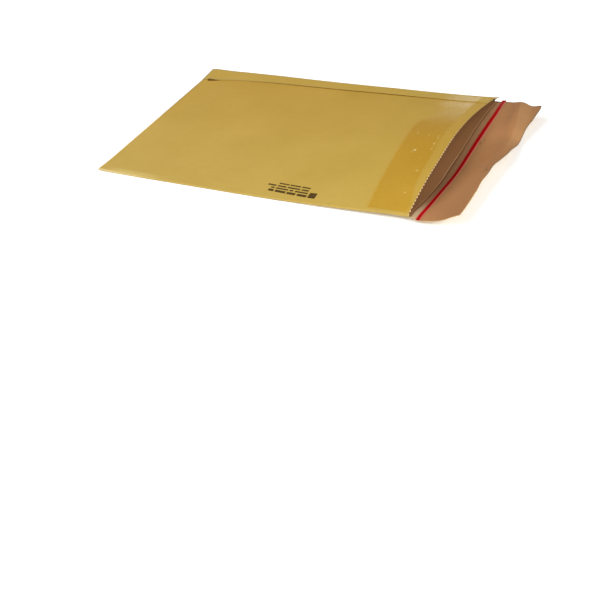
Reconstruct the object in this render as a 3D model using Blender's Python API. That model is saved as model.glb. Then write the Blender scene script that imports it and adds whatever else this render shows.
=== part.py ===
"""Rigid fibreboard mailer, open, lying on its back panel.

The whole mailer is one blank of solid fibreboard. It is wrapped into a flat
tube: lap seam on the top panel beside the far edge, round the far fold, back
panel, round the near fold, top panel, whose last edge is hidden under the lap.
The closed end is glued flat. At the mouth the top panel ends in a pinked edge
and bows up, and the back panel runs on as the closing flap, with a red tear
tape across it just past the mouth.

Working coordinates are millimetres: x from the closed end, y from the middle
line, z up from the surface the mailer lies on. The finished part is in metres,
with its origin under the middle of its bounding box.
"""
import bpy
import bmesh
from math import sin, cos, pi, exp, sqrt
from mathutils import Vector

MM = 0.001

# --- driving sizes, mm -----------------------------------------------------
BOARD = 0.60            # caliper of the solid fibreboard
GLUE = 0.30             # glue line between two glued layers
PANEL_LENGTH = 356.0    # closed end to mouth, for a 14 inch pocket
PANEL_WIDTH = 267.7     # fold to fold, for a 10 1/2 inch pocket
FLAP_LENGTH = 52.0      # crease to free edge
CREASE = 357.0          # the flap's crease, just outside the pinked edge
END_SEAL = 12.0         # depth of the glued strip at the closed end
SIDE_PULL = 2.7         # how far each fold is drawn in when the mouth gapes
GAPE = 19.5             # rise of the top panel's middle at the mouth
LAP_WIDTH = 19.7        # lap seam, fold to free edge, in the middle
LAP_FLARE = 10.3        # extra width of the lap at the closed end
LAP_SPLAY = 7.3         # extra width of the lap at the mouth
TOOTH_PITCH = 4.96      # pinked edge
TOOTH_DEPTH = 1.4
TAPE_WIDTH = 4.8
TAPE_THICK = 0.25
TAPE_GAP = 0.30
TAPE_PROUD = 1.2        # the tape's far end sticks out past the flap

# --- mesh stations -----------------------------------------------------------
BODY_ROWS = [0, 1, END_SEAL, 26, 48, 74, 104, 134, 164, 192, 218, 242, 264,
             284, 302, 318, 332, 343, 350]
MOUTH_ROW = PANEL_LENGTH
FLAP_ROWS = [0, 3, 6, 9, 12, 17, 23, 28, 33, 38, 43, 48, 52]
MAIN_COLUMNS = 22
FOLD_STEPS = 6


def clamp(t):
    return 0.0 if t < 0.0 else (1.0 if t > 1.0 else t)


def smooth(t):
    t = clamp(t)
    return t * t * (3 - 2 * t)


# --- the shape the board has taken -------------------------------------------
def half_width(x):
    return PANEL_WIDTH / 2 - SIDE_PULL * clamp((x - 120) / 236) ** 2


def mouth_warp(y):
    """Rise of the back panel along the mouth: a trough in the near half, a
    raised far third."""
    return 6.7 + 6.5 * sin(pi * (y - 18) / 150) - 1.5 * clamp((-112 - y) / 20) ** 2


def near_drop(x, y):
    """The near corner of the mouth hangs a little."""
    return 1.2 * smooth((x - 336) / 21) * clamp((-112 - y) / 20) ** 2


def back(x, y):
    """Middle surface of the back panel."""
    x = min(x, CREASE)
    far = clamp((x - 60) / 297) ** 1.8
    near = clamp((x - 180) / 177) ** 1.6
    side = smooth((y + 50) / 60)
    z = BOARD / 2 + mouth_warp(y) * (side * far + (1 - side) * near)
    # both corners of the closed end stand up a little
    z += 1.3 * exp(-x / 16) * clamp((-100 - y) / 34) ** 2
    z += 1.2 * smooth((x + 6) / 14) * (1 - smooth((x - 20) / 80)) * clamp((y - 96) / 38) ** 2
    return z - near_drop(x, y)


def loft_far(x):
    """Extra height of the far fold, which springs open a little."""
    return 3.6 * smooth((x - END_SEAL) / 90) - 1.4 * smooth((x - 220) / 110)


def loft_near(x):
    return 1.2 * smooth((x - 200) / 150)


def arch(x):
    t = clamp((x - END_SEAL) / (PANEL_LENGTH - END_SEAL))
    return GAPE * t ** 2.2 + 1.0 * sin(pi * t)


def sag(y):
    """How the top panel's bow leaves an even arch along the mouth."""
    return (-1.7 * exp(-((y + 36) / 36) ** 2) - 0.7 * exp(-((y - 28) / 34) ** 2)
            + 0.4 * smooth((y - 70) / 20))


def top(x, y):
    """Middle surface of the top panel, never closer to the back panel than one
    board and one glue line."""
    w = half_width(x)
    v = max(-1.0, min(1.0, y / w))
    at_near = back(x, -w) + near_drop(x, -w) + BOARD + GLUE + loft_near(x)
    at_far = back(x, w) + BOARD + GLUE + loft_far(x)
    z = at_near + (at_far - at_near) * (1 + v) / 2 + arch(x) * cos(pi * v / 2)
    z += sag(y) * clamp((x - END_SEAL) / (PANEL_LENGTH - END_SEAL)) ** 2.2
    z -= near_drop(x, y)
    low = back(x, y) + BOARD + GLUE
    if x <= END_SEAL:
        return low
    d = (z - low) * smooth((x - END_SEAL) / 36)
    k = 0.6 * smooth((x - END_SEAL) / 60)
    return low + 0.5 * (d + sqrt(d * d + k * k))


def lap(x, y):
    return top(x, y) + BOARD + GLUE


def lap_edge(x):
    flare = LAP_FLARE * exp(-x / 55.0) + LAP_SPLAY * exp((x - PANEL_LENGTH) / 52.0)
    return half_width(x) - LAP_WIDTH - flare


def flap(xi, y):
    """Middle surface of the flap at xi past the crease. It lifts towards its
    free edge, which is pinched down in one place; from there a ridge and a
    shallow trough run slantwise to the far edge."""
    foot = back(CREASE, y)
    free = 13.8 + 2.3 * exp(-((y + 38) / 36) ** 2)
    power = 1.35 + 0.65 * smooth((-50 - y) / 70)
    z = foot + (free - foot) * (xi / FLAP_LENGTH) ** power
    d = y - 54
    pinch = 9.2 * exp(-(abs(d) / (20 if d > 0 else 30)) ** 1.6)
    z -= pinch * clamp((xi - 20) / 32) ** 1.1
    z += 2.0 * smooth((y - 5) / 35) * exp(-((xi - 27 - (131 - y) * 0.16) / 7.0) ** 2)
    z -= 1.6 * smooth((y - 60) / 35) * exp(-((xi - 42.3 - 9.7 * (131 - y) / 77) / 6.0) ** 2)
    z += 0.8 * smooth((y - 60) / 50) * (exp(-((xi - 14) / 5.5) ** 2)
                                        + exp(-((xi - 33) / 4.5) ** 2))
    z -= (1.1 * smooth(xi / 9) * (1 - smooth((xi - 22) / 22))
          * clamp((-98 - y) / 32) ** 2)
    return z


def side_line(xi, y):
    """The flap's near edge stands out to the panel's full width, then tapers
    towards the free corner. Returned as a shift towards the near side."""
    out = 3.0 * smooth(xi / 8) - 6.5 * smooth((xi - 32) / 20)
    return out * clamp((-70 - y) / 60) ** 2


def free_line(y):
    """How far the flap's free edge stands out past, or back from, a straight line."""
    return (2.1 * smooth((y - 76) / 22) - 1.5 * smooth((y - 119) / 13)
            + 0.7 * exp(-((y - 50) / 16) ** 2) + 0.6 * exp(-((y - 12) / 9) ** 2)
            - 1.6 * exp(-((y + 20) / 13) ** 2) - 1.0 * exp(-((y + 58) / 10) ** 2))


def tape_line(y):
    """Distance of the tape's middle line from the crease: it was laid on by a
    moving web and wanders a little."""
    return (9.1 + 2.15 * smooth((y + 78) / 58) + 0.3 * smooth((y - 10) / 50)
            - 3.5 * smooth((y - 84) / 60) + 0.8 * smooth((-85 - y) / 45)
            - 1.0 * smooth((-108 - y) / 20)
            - 0.35 * exp(-((y + 80) / 30) ** 2) + 0.35 * exp(-((y + 50) / 22) ** 2))


# --- one cross-section of the wrapped board ----------------------------------
def seam_columns(x):
    """y of the shared columns: the panels' main columns, then those under the
    lap. The last one is the top panel's hidden edge."""
    w = half_width(x)
    near_start = -(w - fold_depth_near(x))
    far_start = w - fold_depth_far(x)
    edge = lap_edge(x)
    hidden = far_start - 1.0
    ys = [near_start + (edge - near_start) * k / MAIN_COLUMNS
          for k in range(MAIN_COLUMNS + 1)]
    ys += [edge + 2.0, (edge + hidden) / 2, hidden - 2.0, hidden]
    return ys, far_start, near_start


def fold_depth_far(x):
    return 1.0 + 0.3 * loft_far(x)


def fold_depth_near(x):
    return 0.6 + 0.3 * loft_near(x)


def fold_arc(y0, outward, z_from, z_to):
    """Points inside a half turn of the board, between its two ends."""
    mid, rise = (z_from + z_to) / 2, (z_from - z_to) / 2
    pts = []
    for k in range(1, FOLD_STEPS):
        a = pi * k / FOLD_STEPS
        pts.append((y0 + outward * sin(a), mid + rise * cos(a)))
    return pts


def section(x):
    """Ordered (key, y, z) along the board: lap, far fold, back, near fold, top."""
    ys, far_start, near_start = seam_columns(x)
    last = len(ys) - 1
    edge_col = MAIN_COLUMNS
    out = []
    for c in range(edge_col, last):
        out.append((("lap", c), ys[c], lap(x, ys[c])))
    out.append((("lap", last), far_start, lap(x, far_start)))
    for k, (y, z) in enumerate(fold_arc(far_start, fold_depth_far(x),
                                        lap(x, far_start), back(x, far_start))):
        out.append((("far", k), y, z))
    out.append((("back", last), far_start, back(x, far_start)))
    for c in range(last - 1, -1, -1):
        out.append((("back", c), ys[c], back(x, ys[c])))
    for k, (y, z) in enumerate(fold_arc(near_start, -fold_depth_near(x),
                                        back(x, near_start), top(x, near_start))):
        out.append((("near", k), y, z))
    for c in range(0, last + 1):
        out.append((("top", c), ys[c], top(x, ys[c])))
    return out


def walk(rows, height):
    """Real x of each row of one column, since the board bends but does not
    stretch. height(x) is the column's z."""
    xs, x, here = [], 0.0, rows[0]
    z = height(here)
    for r in rows:
        steps = max(1, int((r - here) / 4))
        for k in range(1, steps + 1):
            nx = here + (r - here) * k / steps
            nz = height(nx)
            step = (r - here) / steps
            x += sqrt(max(step * step - (nz - z) ** 2, 0.0))
            z = nz
        here = r
        xs.append(x)
    return xs


def end_skew(y):
    """The closed end is cut a little out of square, its far corner is bent."""
    return 0.5 + 1.4 * (y + 133) / 247 - 1.1 * clamp((y - 114) / 19)


def real_x(x, y, part):
    height = {"lap": lap, "top": top, "near": back, "far": back, "back": back}[part]
    walked = walk([0, x], lambda s: height(s, y))[-1] if x > 0 else 0.0
    if part in ("lap", "top"):
        # the mouth edge bows out a little where the panel is flattest
        walked += 0.7 * exp(-((y + 30) / 60) ** 2) * smooth((x - 300) / 56)
    return walked + end_skew(y) * clamp(1 - x / 60) ** 2


# --- thickening: a middle surface becomes a closed board ----------------------
class Sheet:
    """A middle surface given by keyed points and faces, thickened into a solid.
    Glued areas are opened on both facing sides and joined by a glue line."""

    def __init__(self, thick):
        self.thick = thick
        self.points = {}
        self.faces = []

    def point(self, key, x, y, z):
        self.points[key] = Vector((x, y, z))
        return key

    def face(self, *keys):
        self.faces.append(tuple(keys))

    def normals(self):
        n = {k: Vector((0, 0, 0)) for k in self.points}
        for f in self.faces:
            p = [self.points[k] for k in f]
            c = Vector((0, 0, 0))
            for i in range(len(p)):
                c += p[i].cross(p[(i + 1) % len(p)])
            c.normalize()
            size = len(f)
            for i, k in enumerate(f):
                a = (p[i - 1] - p[i]).normalized()
                b = (p[(i + 1) % size] - p[i]).normalized()
                n[k] += c * a.angle(b, 0.0)
        for v in n.values():
            v.normalize()
        return n

    def build(self, name, glued=()):
        """glued: (faces_a, side_a, faces_b, side_b, pair) with side 0 outer and
        1 inner, and pair the map from a point of a to the facing point of b."""
        normal = self.normals()
        bm = bmesh.new()
        shell = {}
        for k, p in self.points.items():
            for side, sign in ((0, 0.5), (1, -0.5)):
                shell[k, side] = bm.verts.new((p + normal[k] * self.thick * sign) * MM)
        opened = {0: set(), 1: set()}
        for faces_a, side_a, faces_b, side_b, pair in glued:
            opened[side_a] |= {frozenset(f) for f in faces_a}
            opened[side_b] |= {frozenset(f) for f in faces_b}
            count = {}
            for f in faces_a:
                for i in range(len(f)):
                    e = frozenset((f[i], f[(i + 1) % len(f)]))
                    count[e] = count.get(e, 0) + 1
            for e, c in count.items():
                if c == 1:
                    p, q = tuple(e)
                    bm.faces.new((shell[p, side_a], shell[q, side_a],
                                  shell[pair[q], side_b], shell[pair[p], side_b]))
        edges = {}
        for f in self.faces:
            for side in (0, 1):
                if frozenset(f) not in opened[side]:
                    ring = [shell[k, side] for k in f]
                    bm.faces.new(ring if side == 0 else ring[::-1])
            for i in range(len(f)):
                e = frozenset((f[i], f[(i + 1) % len(f)]))
                edges[e] = edges.get(e, 0) + 1
        for e, c in edges.items():
            if c == 1:
                p, q = tuple(e)
                bm.faces.new((shell[p, 0], shell[q, 0], shell[q, 1], shell[p, 1]))
        loose = [v for v in bm.verts if not v.link_faces]
        bmesh.ops.delete(bm, geom=loose, context='VERTS')
        bmesh.ops.recalc_face_normals(bm, faces=bm.faces)
        mesh = bpy.data.meshes.new(name)
        bm.to_mesh(mesh)
        bm.free()
        return mesh


def zip_rows(sheet, row_a, row_b):
    """Triangles between two rows of points of unequal number, both running the
    same way, with the outer side facing as on the rest of the board."""
    def share(row):
        d = [0.0]
        for p, q in zip(row, row[1:]):
            d.append(d[-1] + abs(sheet.points[q].y - sheet.points[p].y))
        return [v / d[-1] for v in d]
    sa, sb = share(row_a), share(row_b)
    i = j = 0
    while i < len(row_a) - 1 or j < len(row_b) - 1:
        next_a = sa[i + 1] if i < len(row_a) - 1 else 9.0
        next_b = sb[j + 1] if j < len(row_b) - 1 else 9.0
        if next_a < next_b:
            sheet.face(row_a[i], row_b[j], row_a[i + 1])
            i += 1
        else:
            sheet.face(row_a[i], row_b[j], row_b[j + 1])
            j += 1


def pinked_row(sheet, part, height, y_from, y_to, first, last):
    """A toothed edge between two given points at the mouth."""
    teeth = max(1, round(abs(y_to - y_from) / TOOTH_PITCH))
    row = [first]
    for k in range(1, 2 * teeth):
        y = y_from + (y_to - y_from) * k / (2 * teeth)
        x = MOUTH_ROW - (TOOTH_DEPTH if k % 2 else 0.0)
        row.append(sheet.point((part, "tooth", k), real_x(x, y, part), y, height(x, y)))
    return row + [last]


def make_board():
    board = Sheet(BOARD)
    rows = BODY_ROWS + [MOUTH_ROW]
    sections = [section(r) for r in rows]
    order = [s[0] for s in sections[0]]
    for c, key in enumerate(order):
        for j, r in enumerate(rows):
            y, z = sections[j][c][1], sections[j][c][2]
            board.point((key, j), real_x(r, y, key[0]), y, z)
    last_row = len(rows) - 1
    toothed = {"lap", "top"}
    for c in range(len(order) - 1):
        a, b = order[c], order[c + 1]
        plain = not (a[0] in toothed and b[0] in toothed)
        for j in range(last_row if plain else last_row - 1):
            board.face((a, j), (a, j + 1), (b, j + 1), (b, j))
    # pinked edges of the lap and of the top panel
    for part, height in (("lap", lap), ("top", top)):
        keys = [k for k in order if k[0] == part]
        y_first = sections[-1][order.index(keys[0])][1]
        y_last = sections[-1][order.index(keys[-1])][1]
        edge = pinked_row(board, part, height, y_first, y_last,
                          (keys[0], last_row), (keys[-1], last_row))
        zip_rows(board, [(k, last_row - 1) for k in keys], edge)
        for k in keys[1:-1]:
            del board.points[(k, last_row)]
    # the flap: the back panel's columns run on past the mouth
    backs = [k for k in order if k[0] == "back"]
    for key in backs:
        y = board.points[(key, last_row)].y
        x0 = real_x(CREASE, y, "back")
        xs = walk(FLAP_ROWS, lambda s: flap(s, y))
        for i, xi in enumerate(FLAP_ROWS):
            corner = free_line(y) * clamp((xi - 38) / 14) ** 2
            board.point((key, last_row + 1 + i), x0 + xs[i] + corner,
                        y - side_line(xi, y), flap(xi, y))
    for a, b in zip(backs, backs[1:]):
        for j in range(last_row, last_row + len(FLAP_ROWS)):
            board.face((a, j), (a, j + 1), (b, j + 1), (b, j))
    # glue: across the closed end, and along the lap seam
    def cells(part, cols, first, last):
        pick = [k for k in order if k[0] == part and k[1] in cols]
        return [((a, j), (a, j + 1), (b, j + 1), (b, j))
                for a, b in zip(pick, pick[1:]) for j in range(first, last)]
    shared = range(1, MAIN_COLUMNS + 4)
    end_top, end_back = cells("top", shared, 1, 2), cells("back", shared, 1, 2)
    pair_end = {(("top", c), j): (("back", c), j) for c in shared for j in (1, 2)}
    under = range(MAIN_COLUMNS + 1, MAIN_COLUMNS + 4)
    seam_lap = cells("lap", under, 1, len(BODY_ROWS) - 1)
    seam_top = cells("top", under, 1, len(BODY_ROWS) - 1)
    pair_seam = {(("lap", c), j): (("top", c), j)
                 for c in under for j in range(1, len(BODY_ROWS))}
    mesh = board.build("mailer_body", [
        (end_top, 1, end_back, 1, pair_end),
        (seam_lap, 1, seam_top, 0, pair_seam)])
    return mesh, board


def make_tape(board):
    """A flat ribbon laid over the flap, along its tape line."""
    normal = board.normals()
    rows = [0, 1]
    first = len(BODY_ROWS) + 1
    keys = sorted({k[0] for k in board.points
                   if k[0][0] == "back" and k[1] == first}, key=lambda k: k[1])
    lift = BOARD / 2 + TAPE_GAP + TAPE_THICK / 2
    ribbon = Sheet(TAPE_THICK)
    names = []
    for c, key in enumerate(keys):
        y = board.points[(key, first)].y
        for r in rows:
            xi = tape_line(y) + (r - 0.5) * TAPE_WIDTH
            i = max(k for k, s in enumerate(FLAP_ROWS) if s <= xi)
            t = (xi - FLAP_ROWS[i]) / (FLAP_ROWS[i + 1] - FLAP_ROWS[i])
            a, b = (key, first + i), (key, first + i + 1)
            p = board.points[a].lerp(board.points[b], t)
            p -= normal[a].lerp(normal[b], t).normalized() * lift
            ribbon.point((c, r), p.x, p.y, p.z)
        names.append(c)
    tip = names[-1] + 1
    for r in rows:
        a, b = ribbon.points[(names[-2], r)], ribbon.points[(names[-1], r)]
        e = b + (b - a).normalized() * TAPE_PROUD
        ribbon.point((tip, r), e.x, e.y, e.z)
    names.append(tip)
    for a, b in zip(names, names[1:]):
        ribbon.face((a, rows[0]), (b, rows[0]), (b, rows[1]), (a, rows[1]))
    return ribbon.build("tear_tape")


def material(name, colour, roughness, metallic=0.0):
    m = bpy.data.materials.new(name)
    m.use_nodes = True
    shader = m.node_tree.nodes["Principled BSDF"]
    shader.inputs["Base Color"].default_value = (*colour, 1.0)
    shader.inputs["Roughness"].default_value = roughness
    shader.inputs["Metallic"].default_value = metallic
    m.diffuse_color = (*colour, 1.0)
    return m


def main():
    for old in list(bpy.data.objects):
        bpy.data.objects.remove(old, do_unlink=True)
    body_mesh, board = make_board()
    tape_mesh = make_tape(board)
    xs = [v.co.x for v in body_mesh.vertices]
    middle = (min(xs) + max(xs)) / 2
    low = min(v.co.z for v in body_mesh.vertices)
    looks = {
        "mailer_body": material("golden_board", (0.56, 0.37, 0.085), 0.55),
        "tear_tape": material("red_tape", (0.45, 0.004, 0.010), 0.35),
    }
    for mesh in (body_mesh, tape_mesh):
        for v in mesh.vertices:
            v.co.x -= middle
            v.co.z -= low
        mesh.materials.append(looks[mesh.name])
        mesh.shade_smooth()
        mesh.set_sharp_from_angle(angle=0.6)
        mesh.update()
        obj = bpy.data.objects.new(mesh.name, mesh)
        bpy.context.scene.collection.objects.link(obj)


main()
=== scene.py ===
"""Looks of the open rigid mailer: fine meshes for the folded board and the tear
tape, their procedural finishes, a pale floor, studio light and the camera.

Working coordinates are those of the part: millimetres, x from the closed end,
y from the middle line, z up. The row frame's origin lies at x = MIDDLE.
"""
from math import sin, cos, pi, exp, sqrt, radians

import bpy
import bmesh
import numpy as np
from mathutils import Matrix, Vector


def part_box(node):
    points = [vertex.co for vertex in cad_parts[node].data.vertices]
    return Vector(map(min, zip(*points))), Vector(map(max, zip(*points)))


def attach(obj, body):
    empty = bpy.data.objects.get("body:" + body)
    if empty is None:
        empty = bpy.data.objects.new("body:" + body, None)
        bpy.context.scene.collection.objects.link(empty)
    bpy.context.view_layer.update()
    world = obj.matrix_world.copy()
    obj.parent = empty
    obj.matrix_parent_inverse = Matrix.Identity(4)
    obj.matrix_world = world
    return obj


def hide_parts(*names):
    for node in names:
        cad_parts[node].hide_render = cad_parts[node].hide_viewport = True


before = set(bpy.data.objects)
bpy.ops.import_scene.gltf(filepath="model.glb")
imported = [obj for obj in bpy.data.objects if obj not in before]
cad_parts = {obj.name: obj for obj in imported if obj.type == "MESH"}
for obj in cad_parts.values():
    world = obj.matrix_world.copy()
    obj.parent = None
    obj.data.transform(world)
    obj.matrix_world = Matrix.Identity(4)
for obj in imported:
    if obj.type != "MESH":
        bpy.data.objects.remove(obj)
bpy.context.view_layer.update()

MM = 0.001

# --- sizes, mm, as in the part -------------------------------------------------
BOARD = 0.60
GLUE = 0.30
PANEL_LENGTH = 356.0
PANEL_WIDTH = 267.7
FLAP_LENGTH = 52.0
CREASE = 357.0
END_SEAL = 12.0
SIDE_PULL = 2.7
GAPE = 19.5
LAP_WIDTH = 19.7
LAP_FLARE = 10.3
LAP_SPLAY = 7.3
TOOTH_DEPTH = 1.5
TAPE_WIDTH = 5.0
TAPE_THICK = 0.22
TAPE_GAP = 0.10
TAPE_PROUD = 1.6

# --- mesh stations --------------------------------------------------------------
BODY_ROWS = ([0, 0.5, 1.2, 2.4, 4, 5.4, 6.2, 7.0, 7.8, 8.8, 10, 11.5, 13.5, 16, 19, 23]
             + [28 + 6.0 * k for k in range(36)]
             + [243 + 4.0 * k for k in range(19)]
             + [318 + 3.0 * k for k in range(10)]
             + [347, 349, 350.8, 352.2])
FINE_ROWS = [352.9, 353.6, 354.2, 354.8, 355.4]
FLAP_ROWS = ([0, 0.4, 0.8, 1.2, 1.6, 2.1, 2.8, 3.6]
             + [4.4 + 0.8 * k for k in range(12)]
             + [14.4 + 2.0 * k for k in range(18)]
             + [49.8, 51.0, 51.6, 52.0])
MAIN_COLUMNS = 98
LAP_COLUMNS = 6
FOLD_STEPS = 12


def clamp(t):
    return 0.0 if t < 0.0 else (1.0 if t > 1.0 else t)


def smooth(t):
    t = clamp(t)
    return t * t * (3 - 2 * t)


def bump(d, width):
    return exp(-(d / width) ** 2)


# --- the shape the board has taken ------------------------------------------------
def half_width(x):
    return PANEL_WIDTH / 2 - SIDE_PULL * clamp((x - 120) / 236) ** 2


def mouth_warp(y):
    return 6.7 + 6.5 * sin(pi * (y - 18) / 150) - 1.5 * clamp((-112 - y) / 20) ** 2


def near_drop(x, y):
    """The near corner of the mouth hangs a little."""
    return 1.2 * smooth((x - 336) / 21) * clamp((-112 - y) / 20) ** 2


def back(x, y):
    x = min(x, CREASE)
    far = clamp((x - 60) / 297) ** 1.8
    near = clamp((x - 180) / 177) ** 1.6
    side = smooth((y + 50) / 60)
    z = BOARD / 2 + mouth_warp(y) * (side * far + (1 - side) * near)
    # both corners of the closed end stand up a little
    z += 1.3 * exp(-x / 16) * clamp((-100 - y) / 34) ** 2
    z += 1.2 * smooth((x + 6) / 14) * (1 - smooth((x - 20) / 80)) * clamp((y - 96) / 38) ** 2
    return z - near_drop(x, y)


def loft_far(x):
    return 3.6 * smooth((x - END_SEAL) / 90) - 1.4 * smooth((x - 220) / 110)


def loft_near(x):
    return 1.2 * smooth((x - 200) / 150)


def arch(x):
    t = clamp((x - END_SEAL) / (PANEL_LENGTH - END_SEAL))
    return GAPE * t ** 2.2 + 1.0 * sin(pi * t)


def sag(y):
    """How the top panel's bow leaves an even arch along the mouth."""
    return (-1.7 * bump(y + 36, 36) - 0.7 * bump(y - 28, 34)
            + 0.4 * smooth((y - 70) / 20))


def top(x, y):
    w = half_width(x)
    v = max(-1.0, min(1.0, y / w))
    gap = BOARD + GLUE
    at_near = back(x, -w) + near_drop(x, -w) + gap + loft_near(x)
    at_far = back(x, w) + gap + loft_far(x)
    z = at_near + (at_far - at_near) * (1 + v) / 2 + arch(x) * cos(pi * v / 2)
    z += sag(y) * clamp((x - END_SEAL) / (PANEL_LENGTH - END_SEAL)) ** 2.2
    z -= near_drop(x, y)
    low = back(x, y) + gap
    if x <= END_SEAL:
        return low
    d = (z - low) * smooth((x - END_SEAL) / 36)
    k = 0.6 * smooth((x - END_SEAL) / 60)
    return low + 0.5 * (d + sqrt(d * d + k * k))


def lap_edge(x):
    flare = LAP_FLARE * exp(-x / 55.0) + LAP_SPLAY * exp((x - PANEL_LENGTH) / 52.0)
    return half_width(x) - LAP_WIDTH - flare


def free_edge(x, y):
    """1 at the lap's free edge, 0 from 11 mm inwards."""
    return smooth((lap_edge(x) + 11 - y) / 11)


def lap(x, y):
    """The lap is pressed flat at the closed end. Just inside it the free edge
    gapes in a short slit, lies down again, and stands off a little from 60 mm on."""
    gape = 1.1 * smooth((x - 6.8) / 1.8) * bump(max(x - 9.2, 0.0), 7.0)
    stand = 0.09 * smooth((x - 52) / 40) * (1 - 0.6 * smooth((x - 250) / 80))
    rest = GLUE * (0.15 + 0.45 * smooth(x / 10) * (1 - free_edge(x, y)))
    return top(x, y) + BOARD + rest + free_edge(x, y) * (gape + stand)


def flap(xi, y):
    foot = back(CREASE, y)
    free = 13.8 + 2.3 * exp(-((y + 38) / 36) ** 2)
    power = 1.35 + 0.65 * smooth((-50 - y) / 70)
    z = foot + (free - foot) * (xi / FLAP_LENGTH) ** power
    d = y - 54
    pinch = 9.2 * exp(-(abs(d) / (20 if d > 0 else 30)) ** 1.6)
    z -= pinch * clamp((xi - 20) / 32) ** 1.1
    z += 2.0 * smooth((y - 5) / 35) * bump(xi - 27 - (131 - y) * 0.16, 7.0)
    z -= 1.6 * smooth((y - 60) / 35) * bump(xi - 42.3 - 9.7 * (131 - y) / 77, 6.0)
    z += 0.8 * smooth((y - 60) / 50) * (bump(xi - 14, 5.5) + bump(xi - 33, 4.5))
    z -= (1.1 * smooth(xi / 9) * (1 - smooth((xi - 22) / 22))
          * clamp((-98 - y) / 32) ** 2)
    return z + score(xi, y)


def side_line(xi, y):
    """The flap's near edge stands out to the panel's full width, then tapers
    towards the free corner. Returned as a shift towards the near side."""
    out = 3.0 * smooth(xi / 8) - 6.5 * smooth((xi - 32) / 20)
    return out * clamp((-70 - y) / 60) ** 2


def crease_line(y):
    """Where the score's bottom runs, past the crease; it wanders a little."""
    return (1.2 - 0.8 * smooth((20 - y) / 40) - 0.7 * smooth((-55 - y) / 40)
            + 0.25 * sin(y / 9.0) * smooth((10 - y) / 30))


def score(xi, y):
    """The score of the crease: a raised lip, then a narrow groove."""
    d = xi - crease_line(y)
    return 0.13 * bump(d + 1.5, 0.55) - 0.28 * bump(d, 0.60)


def tape_line(y):
    """Distance of the tape's middle line from the crease."""
    return (9.1 + 2.15 * smooth((y + 78) / 58) + 0.3 * smooth((y - 10) / 50)
            - 3.5 * smooth((y - 84) / 60) + 0.8 * smooth((-85 - y) / 45)
            - 1.0 * smooth((-108 - y) / 20)
            - 0.35 * bump(y + 80, 30) + 0.35 * bump(y + 50, 22))


# --- small departures of the cut edges ----------------------------------------------
def free_line(y):
    """How far the flap's free edge stands out past, or back from, a straight line."""
    return (2.1 * smooth((y - 76) / 22) - 1.5 * smooth((y - 119) / 13)
            + 0.7 * bump(y - 50, 16) + 0.6 * bump(y - 12, 9)
            - 1.6 * bump(y + 20, 13) - 1.0 * bump(y + 58, 10))


def end_skew(y):
    """The closed end is cut a little out of square, its far corner is bent."""
    return 0.5 + 1.4 * (y + 133) / 247 - 1.1 * clamp((y - 114) / 19)


def bow(r, y):
    """The mouth edge bows out a little where the panel is flattest."""
    return 0.7 * bump(y + 30, 60) * smooth((r - 300) / 56)


def ear(part, k, r, y):
    """The lap's outer corner at the mouth is drawn out to a point with the upper
    half of the far fold. Returned as a share of the full length."""
    if part == "lap":
        share = smooth((y - 123) / 7)
    elif part == "far":
        share = 1 - (k + 1) / (FOLD_STEPS / 2)
        if share < 0:       # the lower half of the fold is notched a little
            share = -0.32 * sin(-share * pi)
    else:
        share = 0.0
    return share * clamp((r - 344) / 12) ** 2


EAR_OUT, EAR_UP = 4.4, 0.8


# --- one cross-section of the wrapped board -----------------------------------------
def fold_depth_far(x):
    return 1.0 + 0.3 * loft_far(x)


def fold_depth_near(x):
    return 0.6 + 0.3 * loft_near(x)


def seam_columns(x):
    w = half_width(x)
    near_start = -(w - fold_depth_near(x))
    far_start = w - fold_depth_far(x)
    edge = lap_edge(x)
    hidden = far_start - 1.0
    ys = [near_start + (edge - near_start) * k / MAIN_COLUMNS
          for k in range(MAIN_COLUMNS + 1)]
    ys += [edge + (hidden - edge) * k / LAP_COLUMNS for k in range(1, LAP_COLUMNS + 1)]
    return ys, far_start, near_start


def fold_arc(y0, outward, z_from, z_to):
    mid, rise = (z_from + z_to) / 2, (z_from - z_to) / 2
    return [(y0 + outward * sin(pi * k / FOLD_STEPS), mid + rise * cos(pi * k / FOLD_STEPS))
            for k in range(1, FOLD_STEPS)]


def section(x):
    """Ordered (key, y, z) along the board: lap, far fold, back, near fold, top."""
    ys, far_start, near_start = seam_columns(x)
    last = len(ys) - 1
    out = [(("lap", c), ys[c], lap(x, ys[c])) for c in range(MAIN_COLUMNS, last)]
    out.append((("lap", last), far_start, lap(x, far_start)))
    for k, (y, z) in enumerate(fold_arc(far_start, fold_depth_far(x),
                                        lap(x, far_start), back(x, far_start))):
        out.append((("far", k), y, z))
    out.append((("back", last), far_start, back(x, far_start)))
    for c in range(last - 1, -1, -1):
        out.append((("back", c), ys[c], back(x, ys[c])))
    for k, (y, z) in enumerate(fold_arc(near_start, -fold_depth_near(x),
                                        back(x, near_start), top(x, near_start))):
        out.append((("near", k), y, z))
    for c in range(0, last + 1):
        out.append((("top", c), ys[c], top(x, ys[c])))
    return out


def walk(rows, height):
    """Real x of each row of one column: the board bends but does not stretch."""
    xs, x, here = [], 0.0, rows[0]
    z = height(here)
    for r in rows:
        steps = max(1, int((r - here) / 4))
        for k in range(1, steps + 1):
            nz = height(here + (r - here) * k / steps)
            step = (r - here) / steps
            x += sqrt(max(step * step - (nz - z) ** 2, 0.0))
            z = nz
        here = r
        xs.append(x)
    return xs


HEIGHT = {"lap": lap, "top": top, "near": back, "far": back, "back": back}


# --- a middle surface thickened into a closed board ----------------------------------
OUTER, INNER, EDGE = 0, 1, 2


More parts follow.
